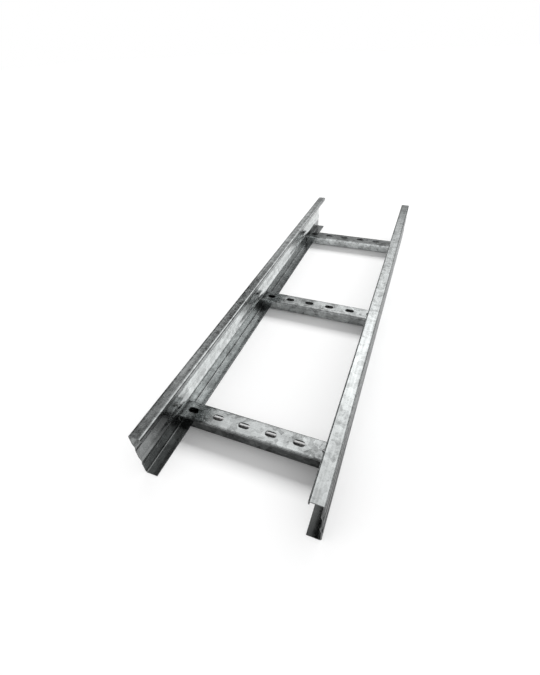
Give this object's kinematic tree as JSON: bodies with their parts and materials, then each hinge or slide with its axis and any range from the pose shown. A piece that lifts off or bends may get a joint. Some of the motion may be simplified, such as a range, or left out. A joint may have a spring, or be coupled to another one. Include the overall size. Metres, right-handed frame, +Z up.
{
  "type": "cable ladder section",
  "caption": "Straight ladder-type cable support: two inward-facing lipped C rails with swaged webs, joined by slotted channel rungs.",
  "frame": {"origin": "on the floor, under the middle of the section's width and length", "axes": "+X across the ladder from the left rail to the right rail, +Y along the rails from the near end to the far end, +Z up"},
  "size_m": [0.29, 1, 0.1],
  "materials": {
    "rail_steel": "hot-dip galvanised, spangled",
    "rung_steel": "hot-dip galvanised, spangled"
  },
  "bodies": {
    "root": {"left_rail": "rail_steel", "right_rail": "rail_steel", "near_rung": "rung_steel", "middle_rung": "rung_steel", "far_rung": "rung_steel"}
  },
  "joints": []
}
